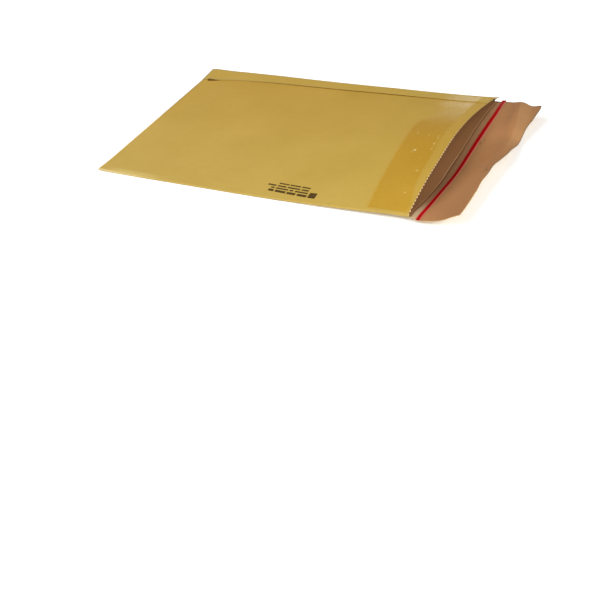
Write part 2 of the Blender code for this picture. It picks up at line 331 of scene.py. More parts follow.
class Sheet:
    def __init__(self, thick):
        self.thick = thick
        self.points = []      # middle surface
        self.sheet = []       # developed place on the flat blank, mm
        self.place = []       # x from the closed end, y from the middle, mm
        self.rim = []         # distance to the nearest cut edge, and from the seam or crease, mm
        self.share = []       # share of the full thickness
        self.index = {}
        self.faces = []
        self.panel = []

    def point(self, key, p, sheet, place, rim=(50.0, 50.0), share=1.0):
        self.index[key] = len(self.points)
        self.points.append(p)
        self.sheet.append(sheet)
        self.place.append(place)
        self.rim.append(rim)
        self.share.append(share)
        return self.index[key]

    def face(self, panel, *ids):
        self.faces.append(ids)
        self.panel.append(panel)

    def normals(self):
        p = np.array(self.points)
        n = np.zeros_like(p)
        for f in self.faces:
            q = p[list(f)]
            size = len(f)
            c = sum(np.cross(q[i] - q[0], q[(i + 1) % size] - q[0]) for i in range(size))
            c = c / max(np.linalg.norm(c), 1e-12)
            a = q[[i - 1 for i in range(size)]] - q
            b = q[[(i + 1) % size for i in range(size)]] - q
            la, lb = np.linalg.norm(a, axis=1), np.linalg.norm(b, axis=1)
            t = np.arccos(np.clip((a * b).sum(1) / np.maximum(la * lb, 1e-12), -1, 1))
            for i, k in enumerate(f):
                n[k] += c * t[i]
        return n / np.maximum(np.linalg.norm(n, axis=1), 1e-12)[:, None]

    def build(self, name, materials, shift):
        p, n = np.array(self.points), self.normals()
        count = len(p)
        half = n * self.thick / 2 * np.array(self.share)[:, None]
        outer, inner = p + half, p - half
        co = (np.concatenate([outer, inner]) - np.array(shift)) * MM
        faces, kinds, panels = [], [], []
        rim = {}
        for f, panel in zip(self.faces, self.panel):
            faces.append(f)
            kinds.append(OUTER)
            panels.append(panel)
            faces.append(tuple(i + count for i in f[::-1]))
            kinds.append(INNER)
            panels.append(panel)
            for i in range(len(f)):
                a, b = f[i], f[(i + 1) % len(f)]
                if (b, a) in rim:
                    del rim[b, a]
                else:
                    rim[a, b] = panel
        for (a, b), panel in rim.items():
            faces.append((b, a, a + count, b + count))
            kinds.append(EDGE)
            panels.append(panel)
        mesh = bpy.data.meshes.new(name)
        mesh.from_pydata(co.tolist(), [], faces)
        mesh.polygons.foreach_set("material_index", np.array(kinds, np.int32))
        for m in materials:
            mesh.materials.append(m)
        flat = mesh.uv_layers.new(name="sheet")
        spot = mesh.uv_layers.new(name="place")
        edge = mesh.uv_layers.new(name="rim")
        sheet = np.array(self.sheet * 2)
        place = np.array(self.place * 2)
        loop_vertex = np.zeros(len(mesh.loops), np.int32)
        mesh.loops.foreach_get("vertex_index", loop_vertex)
        sizes = np.array([len(f) for f in faces])
        away = np.array([0.0 if q in ("top", "lap") else -1000.0 for q in panels])
        away = np.repeat(away, sizes)
        uv = sheet[loop_vertex] * MM
        flat.data.foreach_set("uv", uv.astype(np.float32).ravel())
        uv = place[loop_vertex].astype(float)
        uv[:, 0] += away
        spot.data.foreach_set("uv", (uv * MM).astype(np.float32).ravel())
        uv = np.array(self.rim * 2)[loop_vertex] * MM
        edge.data.foreach_set("uv", uv.astype(np.float32).ravel())
        mesh.shade_smooth()
        mesh.set_sharp_from_angle(angle=radians(35))
        mesh.validate()
        mesh.update()
        return mesh


def developed(panel, y, k=0):
    """Place across the flat blank, running on over both folds."""
    half = PANEL_WIDTH / 2
    if panel == "top":
        return y
    if panel == "near":
        return -half - 0.3
    if panel == "back":
        return -2 * half - 1.5 - y
    if panel == "far":
        return -3 * half - 2.0
    return -4 * half - 3.0 + y


def margins(part, r, y, notch=0.0):
    """Distance to the nearest cut edge; then, on the top panel and the lap, the
    distance out from the seam, and on the back panel that past the crease."""
    if part in ("top", "lap"):
        d = min(r, PANEL_LENGTH - r - notch)
        if part == "lap":
            d = min(d, y - lap_edge(r))
        return (d, lap_edge(r) - y)
    d = r
    if part == "back":
        if r > PANEL_LENGTH:
            xi = r - CREASE
            side = half_width(PANEL_LENGTH) - (fold_depth_far(PANEL_LENGTH) if y > 0
                                               else fold_depth_near(PANEL_LENGTH))
            d = min(FLAP_LENGTH - xi, side - abs(y))
        return (d, r - CREASE - crease_line(y))
    return (min(r, PANEL_LENGTH - r), 50.0)


def make_board():
    board = Sheet(BOARD)
    rows = BODY_ROWS
    sections = [section(r) for r in rows]
    order = [s[0] for s in sections[0]]
    last = len(rows) - 1
    ids = {}
    tails = {}
    for c, key in enumerate(order):
        part = key[0]
        y_end = sections[-1][c][1]
        xs = walk(rows, lambda s: HEIGHT[part](s, y_end * half_width(s) / half_width(rows[-1])))
        tails[key] = xs[-1]
        for j, r in enumerate(rows):
            y, z = sections[j][c][1], sections[j][c][2]
            e = ear(part, key[1], r, y)
            x = xs[j] + end_skew(y) * clamp(1 - r / 60) ** 2 + EAR_OUT * e
            if part in ("top", "lap"):
                x += bow(r, y)
            if part == "back":
                z += score(r - CREASE, y)
            thin = 1.0
            if part == "lap":
                thin = 1 - 0.6 * free_edge(r, y) * (1 - smooth(r / 6))
            ids[key, j] = board.point((key, j), (x, y, z + EAR_UP * e), (r, developed(part, y)),
                                      (r, y), margins(part, r, y), thin)
    for c in range(len(order) - 1):
        a, b = order[c], order[c + 1]
        panel = a[0] if a[0] == b[0] else ("fold" if "back" in (a[0], b[0]) else "top")
        if a[0] == "near" or b[0] == "near":
            panel = "top" if b[0] == "top" or a[1:] > (FOLD_STEPS // 2,) else "fold"
        if a[0] == "far" or b[0] == "far":
            panel = "lap" if a[0] == "lap" or (a[0] == "far" and a[1] < FOLD_STEPS // 2) else "fold"
        for j in range(last):
            board.face(panel, ids[a, j], ids[a, j + 1], ids[b, j + 1], ids[b, j])

    # the plain strips on the back and both folds run on to the mouth at full width
    plain = [k for k in order if k[0] in ("far", "back", "near")]
    toothed = {"lap": [k for k in order if k[0] == "lap"],
               "top": [k for k in order if k[0] == "top"]}
    stations = FINE_ROWS + [PANEL_LENGTH]
    tail_sections = [section(r) for r in stations]
    where = {k: i for i, k in enumerate(order)}
    real = {}
    for key in order:
        part, c = key[0], where[key]
        y_end = tail_sections[-1][c][1]
        xs = walk([rows[-1]] + stations,
                  lambda s: HEIGHT[part](s, y_end * half_width(s) / half_width(PANEL_LENGTH)))
        real[key] = [tails[key] + v for v in xs[1:]]
        if part in ("top", "lap"):
            for j, r in enumerate(stations):
                real[key][j] += bow(r, tail_sections[j][c][1])
    for key in plain:
        for j, r in enumerate(stations):
            y, z = tail_sections[j][where[key]][1:]
            e = ear(key[0], key[1], r, y)
            if key[0] == "back":
                z += score(r - CREASE, y)
            ids[key, last + 1 + j] = board.point(
                (key, last + 1 + j), (real[key][j] + EAR_OUT * e, y, z + EAR_UP * e),
                (r, developed(key[0], y)), (r, y), margins(key[0], r, y))
    # toothed strips: the columns double, then draw back between the teeth
    for part, keys in toothed.items():
        fine = []
        for i, key in enumerate(keys):
            fine.append((key, None))
            if i < len(keys) - 1:
                fine.append((key, keys[i + 1]))
        previous = None
        for j, r in enumerate(stations):
            row = []
            for i, (a, b) in enumerate(fine):
                ya, za = tail_sections[j][where[a]][1:]
                x = real[a][j]
                if b is not None:
                    yb, zb = tail_sections[j][where[b]][1:]
                    ya, za, x = (ya + yb) / 2, (za + zb) / 2, (x + real[b][j]) / 2
                tooth = abs(((i / 4 + 0.5) % 1.0) - 0.5) * 2      # 0 at a tip, 1 in a notch
                share = (j + 1) / len(stations)
                back_by = TOOTH_DEPTH * tooth * share
                if (a, b) in (fine[0], fine[-1]) and part == "top":
                    back_by *= 0.5
                k = (part, "fine", i, j)
                e = ear(part, 0, r, ya)
                notch = TOOTH_DEPTH * tooth * (1 - share)
                row.append(board.point(k, (x - back_by + EAR_OUT * e, ya, za + EAR_UP * e),
                                       (r - back_by, developed(part, ya)), (r - back_by, ya),
                                       margins(part, r, ya, notch)))
                if i == 0:
                    ids[keys[0], last + 1 + j] = row[-1]
                if i == len(fine) - 1:
                    ids[keys[-1], last + 1 + j] = row[-1]
            if previous is None:
                coarse = [ids[k, last] for k in keys]
                for i in range(len(coarse) - 1):
                    board.face(part, coarse[i], row[2 * i], row[2 * i + 1])
                    board.face(part, coarse[i], row[2 * i + 1], coarse[i + 1])
                    board.face(part, coarse[i + 1], row[2 * i + 1], row[2 * i + 2])
            else:
                for i in range(len(row) - 1):
                    board.face(part, previous[i], row[i], row[i + 1], previous[i + 1])
            previous = row
    # strips between neighbours where at least one is plain
    for c in range(len(order) - 1):
        a, b = order[c], order[c + 1]
        if a[0] == b[0] and a[0] in toothed:
            continue
        panel = "lap" if "lap" in (a[0], b[0]) else ("top" if "top" in (a[0], b[0]) else "fold")
        for j in range(last, last + len(stations)):
            board.face(panel, ids[a, j], ids[a, j + 1], ids[b, j + 1], ids[b, j])

    # the flap: the back panel's columns run on past the mouth
    backs = [k for k in order if k[0] == "back"]
    base = last + len(stations)
    for key in backs:
        y = tail_sections[-1][where[key]][1]
        x0 = real[key][-1] + (CREASE - PANEL_LENGTH)
        xs = walk(FLAP_ROWS, lambda s: flap(s, y))
        for i, xi in enumerate(FLAP_ROWS):
            corner = free_line(y) * clamp((xi - 38) / 14) ** 2
            ids[key, base + 1 + i] = board.point(
                (key, base + 1 + i), (x0 + xs[i] + corner, y - side_line(xi, y), flap(xi, y)),
                (CREASE + xi, developed("back", y)), (CREASE + xi, y),
                margins("back", CREASE + xi, y))
    for a, b in zip(backs, backs[1:]):
        for j in range(base, base + len(FLAP_ROWS)):
            board.face("back", ids[a, j], ids[a, j + 1], ids[b, j + 1], ids[b, j])
    return board, backs, base


def make_tape(board, backs, base):
    """A ribbon with a soft crown, laid over the flap along the tape line."""
    n, p = board.normals(), np.array(board.points)
    ribbon = Sheet(TAPE_THICK)
    across = [-0.5, -0.46, -0.38, -0.2, 0.0, 0.2, 0.38, 0.46, 0.5]
    crown = [-0.03, 0.01, 0.04, 0.055, 0.06, 0.055, 0.04, 0.01, -0.03]
    lift = BOARD / 2 + TAPE_GAP + TAPE_THICK / 2
    table = []
    for key in sorted(backs, key=lambda k: k[1]):
        ids = [board.index[(key, base + 1 + r)] for r in range(len(FLAP_ROWS))]
        q, m = p[ids], n[ids]
        middle = tape_line(q[0][1])
        line = []
        for a, c in zip(across, crown):
            xi = middle + a * TAPE_WIDTH
            v = np.array([np.interp(xi, FLAP_ROWS, q[:, k]) for k in range(3)])
            w = np.array([np.interp(xi, FLAP_ROWS, m[:, k]) for k in range(3)])
            line.append(v - w / np.linalg.norm(w) * (lift + c))
        table.append(line)
    d = np.array(table[-1]) - np.array(table[-3])
    d = d / np.linalg.norm(d, axis=1)[:, None]
    up = np.array([0, 0, 1.0])
    for k in (1, 2, 3):
        # cut at a slight slant, longer on the side away from the crease
        s = np.array([TAPE_PROUD * (1.10 + 0.3 * a) * k / 3 for a in across])[:, None]
        table.append(list(np.array(table[len(backs) - 1]) + d * s + up * 0.22 * s * s))
    for i, line in enumerate(table):
        for c, v in enumerate(line):
            spot = (v[1], across[c] * TAPE_WIDTH)
            ribbon.point((i, c), tuple(v), spot, spot)
    for i in range(len(table) - 1):
        for c in range(len(across) - 1):
            ribbon.face("tape", ribbon.index[(i, c)], ribbon.index[(i + 1, c)],
                        ribbon.index[(i + 1, c + 1)], ribbon.index[(i, c + 1)])
    return ribbon


# --- colours ---------------------------------------------------------------------------
GOLD_LOW, GOLD_HIGH = (0.425, 0.262, 0.030), (0.455, 0.283, 0.036)
COAT = (0.97, 0.84, 0.50)
BROWN_LOW, BROWN_HIGH = (0.305, 0.142, 0.054), (0.335, 0.158, 0.062)


# --- node graphs -----------------------------------------------------------------------
class Graph:
    """A few words for building a material's nodes."""

    def __init__(self, name):
        self.material = bpy.data.materials.new(name)
        self.material.use_nodes = True
        self.tree = self.material.node_tree
        self.shader = self.tree.nodes["Principled BSDF"]

    def node(self, kind, **values):
        n = self.tree.nodes.new(kind)
        for k, v in values.items():
            setattr(n, k, v)
        return n

    def put(self, socket, value):
        if isinstance(value, (int, float)):
            socket.default_value = value
        elif isinstance(value, (tuple, list)):
            size = len(socket.default_value)
            socket.default_value = tuple(value) + (1.0,) * (size - len(value))
        else:
            self.tree.links.new(value, socket)

    def uv(self, name):
        return self.node("ShaderNodeUVMap", uv_map=name).outputs["UV"]

    def math(self, op, a, b=0.0, c=None, clamp=False):
        n = self.node("ShaderNodeMath", operation=op, use_clamp=clamp)
        self.put(n.inputs[0], a)
        self.put(n.inputs[1], b)
        if c is not None:
            self.put(n.inputs[2], c)
        return n.outputs[0]

    def vector(self, op, a, b=(0, 0, 0)):
        n = self.node("ShaderNodeVectorMath", operation=op)
        self.put(n.inputs[0], a)
        self.put(n.inputs[1], b)
        return n.outputs["Value"] if op in ("LENGTH", "DISTANCE", "DOT_PRODUCT") else n.outputs[0]

    def split(self, v):
        n = self.node("ShaderNodeSeparateXYZ")
        self.put(n.inputs[0], v)
        return n.outputs[0], n.outputs[1]

    def join(self, x, y, z=0.0):
        n = self.node("ShaderNodeCombineXYZ")
        self.put(n.inputs[0], x)
        self.put(n.inputs[1], y)
        self.put(n.inputs[2], z)
        return n.outputs[0]

    def noise(self, v, scale=1.0, detail=2.0, rough=0.5, distort=0.0):
        n = self.node("ShaderNodeTexNoise", noise_dimensions="3D")
        self.put(n.inputs["Vector"], v)
        n.inputs["Scale"].default_value = scale
        n.inputs["Detail"].default_value = detail
        n.inputs["Roughness"].default_value = rough
        n.inputs["Distortion"].default_value = distort
        return n.outputs["Fac"]

    def cells(self, v, scale=1.0):
        n = self.node("ShaderNodeTexVoronoi", feature="F1")
        self.put(n.inputs["Vector"], v)
        n.inputs["Scale"].default_value = scale
        return n.outputs["Distance"], n.outputs["Color"]

    def step(self, v, low, high, out_low=0.0, out_high=1.0):
        n = self.node("ShaderNodeMapRange", interpolation_type="SMOOTHSTEP")
        self.put(n.inputs["Value"], v)
        self.put(n.inputs["From Min"], low)
        self.put(n.inputs["From Max"], high)
        self.put(n.inputs["To Min"], out_low)
        self.put(n.inputs["To Max"], out_high)
        return n.outputs["Result"]

    def ramp(self, v, low, high, out_low=0.0, out_high=1.0):
        n = self.node("ShaderNodeMapRange", interpolation_type="LINEAR")
        self.put(n.inputs["Value"], v)
        self.put(n.inputs["From Min"], low)
        self.put(n.inputs["From Max"], high)
        self.put(n.inputs["To Min"], out_low)
        self.put(n.inputs["To Max"], out_high)
        return n.outputs["Result"]

    def mix(self, fac, a, b, kind="MIX"):
        n = self.node("ShaderNodeMix", data_type="RGBA", blend_type=kind)
        self.put(n.inputs["Factor"], fac)
        self.put(n.inputs["A"], a)
        self.put(n.inputs["B"], b)
        return n.outputs["Result"]

    def scale_colour(self, colour, k):
        return self.vector("MULTIPLY", colour, self.join(k, k, k))

    def relief(self, height, distance):
        n = self.node("ShaderNodeBump")
        n.inputs["Strength"].default_value = 1.0
        n.inputs["Distance"].default_value = distance
        self.put(n.inputs["Height"], height)
        self.tree.links.new(n.outputs["Normal"], self.shader.inputs["Normal"])

    def finish(self, colour, rough, preview, metallic=0.0, specular=0.5):
        self.put(self.shader.inputs["Base Color"], colour)
        self.put(self.shader.inputs["Roughness"], rough)
        self.shader.inputs["Metallic"].default_value = metallic
        self.shader.inputs["Specular IOR Level"].default_value = specular
        self.material.diffuse_color = (*preview, 1.0)
        return self.material


def linear(r, g, b):
    return tuple(((c / 255 + 0.055) / 1.055) ** 2.4 if c > 10 else c / 255 / 12.92 for c in (r, g, b))


def fibres(g, mm):
    """Paper fibre: long streaks along the sheet, fine crossed hairs and a mottle,
    each 0 to 1."""
    streak = g.noise(g.vector("MULTIPLY", mm, (0.030, 0.55, 1.0)), 1.0, 3.0, 0.6, 0.15)
    hair = g.noise(g.vector("MULTIPLY", mm, (0.35, 2.4, 1.0)), 1.0, 2.0, 0.6, 0.6)
    cross = g.noise(g.vector("MULTIPLY", g.vector("ADD", mm, (311, 77, 0)), (1.9, 0.5, 1.0)), 1.0, 2.0, 0.6, 0.8)
    mottle = g.noise(mm, 0.11, 3.0, 0.55)
    cloud = g.noise(mm, 0.014, 2.0, 0.5)
    return streak, hair, cross, mottle, cloud


def spot(g, at, x, y, long, wide, turn=0.0):
    """A soft-edged small mark: 1 inside, 0 outside, at a place on the board."""
    d = g.vector("SUBTRACT", at, (x, y, 0.0))
    if turn:
        rot = g.node("ShaderNodeVectorRotate", rotation_type="Z_AXIS")
        g.put(rot.inputs["Vector"], d)
        rot.inputs["Angle"].default_value = radians(turn)
        d = rot.outputs["Vector"]
    r = g.vector("LENGTH", g.vector("MULTIPLY", d, (2.0 / long, 2.0 / wide, 0.0)))
    return g.step(r, 0.6, 1.25, 1.0, 0.0)


def bar(g, x, y, x0, x1, y0, y1, soft=0.25):
    """A plain rectangle: 1 inside, 0 outside."""
    a = g.math("MULTIPLY", g.step(x, x0 - soft, x0 + soft), g.step(x, x1 - soft, x1 + soft, 1.0, 0.0))
    b = g.math("MULTIPLY", g.step(y, y0 - soft, y0 + soft), g.step(y, y1 - soft, y1 + soft, 1.0, 0.0))
    return g.math("MULTIPLY", a, b)


def total(g, parts):
    out = parts[0]
    for p in parts[1:]:
        out = g.math("MAXIMUM", out, p)
    return out


def gold_face():
    g = Graph("gold_board_face")
    mm = g.vector("MULTIPLY", g.uv("sheet"), (1000, 1000, 0))
    at = g.vector("MULTIPLY", g.uv("place"), (1000, 1000, 0))
    x, y = g.split(at)
    rim, seam = g.split(g.vector("MULTIPLY", g.uv("rim"), (1000, 1000, 0)))
    streak, hair, cross, mottle, cloud = fibres(g, mm)
    here = g.step(x, -50, -40)      # the top panel and the lap, not the back
    colour = g.mix(g.ramp(cloud, 0.3, 0.7), GOLD_LOW, GOLD_HIGH)
    tone = g.math("ADD", g.math("MULTIPLY", streak, 0.10), g.math("MULTIPLY", hair, 0.07))
    tone = g.math("ADD", tone, g.math("MULTIPLY", cross, 0.05))
    tone = g.math("ADD", tone, g.math("MULTIPLY", mottle, 0.07))
    tone = g.math("ADD", tone, 1.0 - 0.145)
    colour = g.scale_colour(colour, tone)
    # painted sheen: the board is painted paler and bluer towards the near side and the closed end, where the light
    # falls on it
    blue = g.math("MULTIPLY", g.ramp(y, -130, 125, 1.90, 1.25), g.ramp(x, 0, 320, 1.07, 0.90))
    colour = g.vector("MULTIPLY", colour, g.join(1.0, g.ramp(y, -130, 125, 1.09, 0.985), blue))
    lapped = g.math("MULTIPLY", g.step(seam, -0.3, 0.0, 1.0, 0.0), here)
    colour = g.mix(lapped, colour, g.mix(1.0, g.scale_colour(colour, 1.25), (0.816, 0.872, 1.0), "MULTIPLY"))
    # shives: small dark and light flecks in the pulp
    near, tint = g.cells(g.vector("ADD", mm, g.scale_colour(g.join(hair, cross), 1.2)), 0.17)
    pick = g.split(tint)[0]
    fleck = g.math("MULTIPLY", g.step(near, 0.05, 0.10, 1.0, 0.0), g.step(pick, 0.80, 0.82))
    colour = g.mix(g.math("MULTIPLY", fleck, 0.35), colour, (0.30, 0.18, 0.045))
    # the coat that takes the flap: a strip across the top panel and the lap
    left_edge = g.math("ADD", g.ramp(y, -129, 60, 309.0, 297.0),
                       g.math("SUBTRACT", g.step(y, 38, 58, 0.0, 14.0), g.step(y, 76, 98, 0.0, 10.0)))
    left = g.step(g.math("ADD", g.math("SUBTRACT", x, left_edge), g.math("MULTIPLY", mottle, 2.6)),
                  g.ramp(y, 25, 60, -0.6, -6.0), g.ramp(y, 25, 60, 4.4, 13.0))
    right_edge = g.math("ADD", g.ramp(y, -117, -88, 353, 347), g.ramp(y, -88, -4, 0.0, -4.5))
    right = g.step(g.math("SUBTRACT", x, right_edge), -2.4, 2.2, 1.0, 0.0)
    low = g.step(y, -129.2, -127.6)
    high = g.step(y, 126.5, 128.0, 1.0, 0.0)
    strip = g.math("MULTIPLY", left, g.math("MULTIPLY", low, high))
    coat = g.math("MULTIPLY", strip, right)
    tinted = g.math("ADD", g.math("MULTIPLY", coat, 0.62), g.math("MULTIPLY", strip, 0.38))
    # towards the far edge the coat's tint fades out and the strip is painted a little lighter: a painted sheen
    tinted = g.math("MULTIPLY", tinted, g.step(y, 30, 66, 1.0, 0.12))
    colour = g.scale_colour(colour, g.math("ADD", 1.0, g.math("MULTIPLY", strip, g.step(y, 50, 90, 0.0, 0.06))))
    colour = g.mix(tinted, colour, g.mix(1.0, colour, COAT, "MULTIPLY"))
    rough = g.math("ADD", 0.50, g.math("MULTIPLY", hair, 0.12))
    rough = g.math("SUBTRACT", rough, g.math("MULTIPLY", coat, 0.30))
    # pale flecks and one scuffed trail on the coat
    specks = total(g, [spot(g, at, 322.3, -26.4, 3.7, 2.7, 20), spot(g, at, 320.6, -30.0, 2.0, 1.3, -30),
                       spot(g, at, 311.9, 9.9, 2.6, 1.6, 10), spot(g, at, 326.4, 4.8, 1.8, 2.0),
                       spot(g, at, 338.9, -2.6, 1.9, 1.9), spot(g, at, 338.6, -13.6, 2.4, 2.1, 35),
                       spot(g, at, 339.9, -24.0, 1.7, 1.9), spot(g, at, 339.1, -64.9, 2.4, 1.7, -15),
                       spot(g, at, 340.3, -100.9, 2.0, 1.4), spot(g, at, 333.5, -40.5, 1.3, 1.1),
                       spot(g, at, 341.5, 70.0, 2.0, 1.6), spot(g, at, 337.0, 48.0, 1.6, 1.5)])
    trail = total(g, [spot(g, at, 337.8, 2.0, 11.0, 0.9, 75), spot(g, at, 339.8, -16.0, 22.0, 1.0, 90)])
    scuff = g.math("MULTIPLY", trail, g.math("MULTIPLY", g.step(cross, 0.42, 0.62), 0.42))
    bright = g.math("MAXIMUM", spot(g, at, 322.3, -26.4, 3.0, 2.4, 20), g.step(y, -70, 0, 0.70, 0.62))
    colour = g.mix(g.math("MAXIMUM", g.math("MULTIPLY", specks, bright), scuff), colour, (0.72, 0.57, 0.26))
    # the panel's print: a plain block and four rows of plain bars
    worn = g.ramp(g.noise(mm, 0.35, 1.0), 0.3, 0.6, 0.90, 1.0)
    askew = g.math("ADD", y, g.math("MULTIPLY", g.math("SUBTRACT", x, 220.0), 0.08))
    bars = [(202.8, 214.6, -107.4, 1.1), (215.6, 227.9, -107.4, 1.1), (229.7, 239.4, -107.4, 1.1),
            (191.4, 201.0, -112.0, 1.2), (203.0, 213.0, -112.0, 1.2), (214.3, 229.4, -112.0, 1.2),
            (230.9, 239.2, -112.0, 1.2), (196.8, 200.9, -116.3, 1.2), (202.7, 217.0, -116.3, 1.2),
            (218.7, 222.8, -116.3, 1.2), (225.1, 240.0, -116.3, 1.2), (195.8, 202.0, -121.2, 1.9),
            (203.6, 215.9, -121.2, 1.9), (217.4, 227.6, -121.2, 1.9), (229.4, 240.6, -121.2, 1.9)]
    ink = total(g, [bar(g, x, y, 242.2, 250.4, -125.0, -116.0)]
                + [bar(g, x, askew, a, b, c - h, c + h) for a, b, c, h in bars])
    colour = g.mix(g.math("MULTIPLY", g.math("MULTIPLY", ink, worn), 0.97), colour, (0.036, 0.015, 0.0002))
    # the seam beside the lap: a dark line along the lap's edge and a darker slit near the closed end, painted
    # shade with some glue stain
    on_panel = g.math("MULTIPLY", g.step(seam, -0.2, 0.05), here)
    slit = g.math("MULTIPLY", g.step(x, 6.7, 8.1), g.step(x, 15.0, 28.0, 1.0, 0.0))
    slit = g.math("MULTIPLY", slit, g.step(seam, g.ramp(x, 8, 24, 1.5, 0.3), g.ramp(x, 8, 24, 2.6, 0.8), 1.0, 0.0))
    line = g.math("MULTIPLY", g.step(x, 44.0, 75.0), g.step(seam, 0.20, 0.85, 1.0, 0.0))
    line = g.math("MULTIPLY", line, g.math("MULTIPLY", g.ramp(x, 50, 190, 0.14, 0.86),
                                           g.ramp(x, 270, 340, 1.0, 0.12)))
    line = g.math("MULTIPLY", line, g.ramp(streak, 0.40, 0.56, 0.35, 1.1))
    colour = g.mix(g.math("MULTIPLY", line, on_panel), colour, (0.16, 0.056, 0.001))
    colour = g.mix(g.math("MULTIPLY", slit, on_panel), colour, (0.12, 0.028, 0.0))
    # pale cut edges, worn and partly a painted highlight, palest along the closed end and the near half of the
    # mouth
    edge = g.step(rim, 0.25, g.math("ADD", 0.75, g.math("MULTIPLY", hair, 0.7)), 1.0, 0.0)
    where = g.math("ADD", g.math("MULTIPLY", g.step(x, 100, 200, 0.80, 0.0), g.step(y, -20, 40, 1.0, 0.0)),
                   g.math("MULTIPLY", g.step(x, 200, 300), g.ramp(y, -30, 40, 0.90, 0.0)))
    # at the mouth only the teeth's tips are pale
    tips = g.math("MAXIMUM", g.step(x, 200, 300, 1.0, 0.0), g.step(x, 354.55, 355.35))
    wear = g.math("MULTIPLY", g.math("MULTIPLY", edge, tips), g.math("MULTIPLY", here, where))
    colour = g.mix(wear, colour, (0.78, 0.58, 0.30))
    # painted highlight along the near fold beside the closed end, with a softer painted glow above it
    run = g.math("ADD", x, g.math("MULTIPLY", g.math("SUBTRACT", 1.0, here), 1000.0))
    fold = g.step(g.math("ADD", y, g.ramp(run, 0, 85, 0.0, 2.4)), -132.6, -131.0, 1.0, 0.0)
    fold = g.math("MULTIPLY", fold, g.step(run, 15.0, 65.0, 0.72, 0.14))
    glow = g.math("MULTIPLY", g.step(y, -131.0, -122.0, 1.0, 0.0), g.math("MULTIPLY", here, 0.38))
    glow = g.math("MULTIPLY", glow, g.math("MULTIPLY", g.step(x, 4, 26), g.step(x, 45, 90, 1.0, 0.0)))
    colour = g.mix(glow, colour, (0.66, 0.53, 0.20))
    colour = g.mix(fold, colour, (0.62, 0.48, 0.23))
    # dust along the far fold and the far half of the closed end
    away = g.math("ABSOLUTE", g.math("ADD", g.split(mm)[1], 1.5 * PANEL_WIDTH + 2.0))
    dust = g.math("MULTIPLY", g.step(rim, 0.6, 1.7, 1.0, 0.0),
                  g.math("MULTIPLY", g.step(x, 100, 200, 0.80, 0.0), g.step(y, -10, 40)))
    dust = g.math("MAXIMUM", g.math("MULTIPLY", dust, here), g.step(away, 2.1, 3.7, 0.72, 0.0))
    dust = g.math("MULTIPLY", dust, g.ramp(mottle, 0.3, 0.6, 0.75, 1.1))
    colour = g.mix(dust, colour, (0.24, 0.19, 0.085))
    height = g.math("ADD", g.math("MULTIPLY", hair, 0.5), g.math("MULTIPLY", cross, 0.35))
    height = g.math("ADD", height, g.math("MULTIPLY", mottle, 0.6))
    height = g.math("MULTIPLY", height, g.math("SUBTRACT", 1.0, g.math("MULTIPLY", coat, 0.6)))
    g.relief(height, 0.00006)
    return g.finish(colour, rough, GOLD_LOW, specular=0.22)


